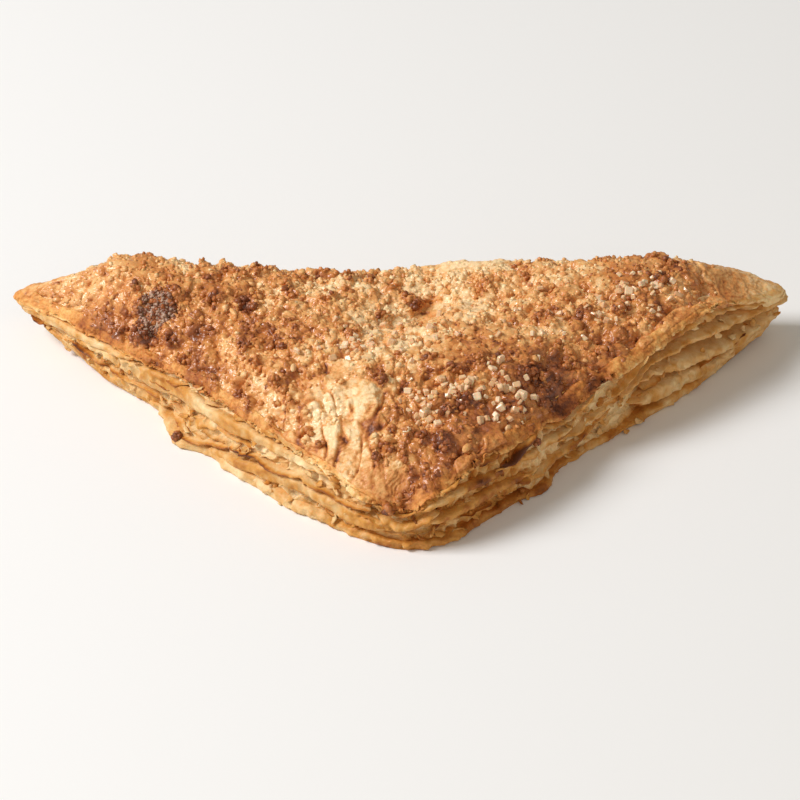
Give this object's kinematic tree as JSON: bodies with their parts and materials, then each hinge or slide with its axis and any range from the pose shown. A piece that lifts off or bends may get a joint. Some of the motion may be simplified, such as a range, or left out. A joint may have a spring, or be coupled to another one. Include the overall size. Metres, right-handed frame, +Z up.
{
  "type": "turnover pastry",
  "caption": "Baked triangular puff pastry turnover with a crumb and coarse sugar topping and flaky cut edges.",
  "frame": {"origin": "on the surface it lies on, under the middle of its box", "axes": "+X along the folded long side, -Y towards the right-angled corner where the two cut legs meet, +Z up"},
  "size_m": [0.1574, 0.076, 0.0227],
  "materials": {
    "crust": "matte baked puff pastry, pale gold with browned patches",
    "leaves": "matte flaky cut edge, cream to pale gold",
    "crumb": "rough brown sugar and cinnamon crumb with a slight melted sheen",
    "sugar": "coarse translucent sugar crystals"
  },
  "bodies": {
    "root": {"pastry": "crust"}
  },
  "joints": []
}
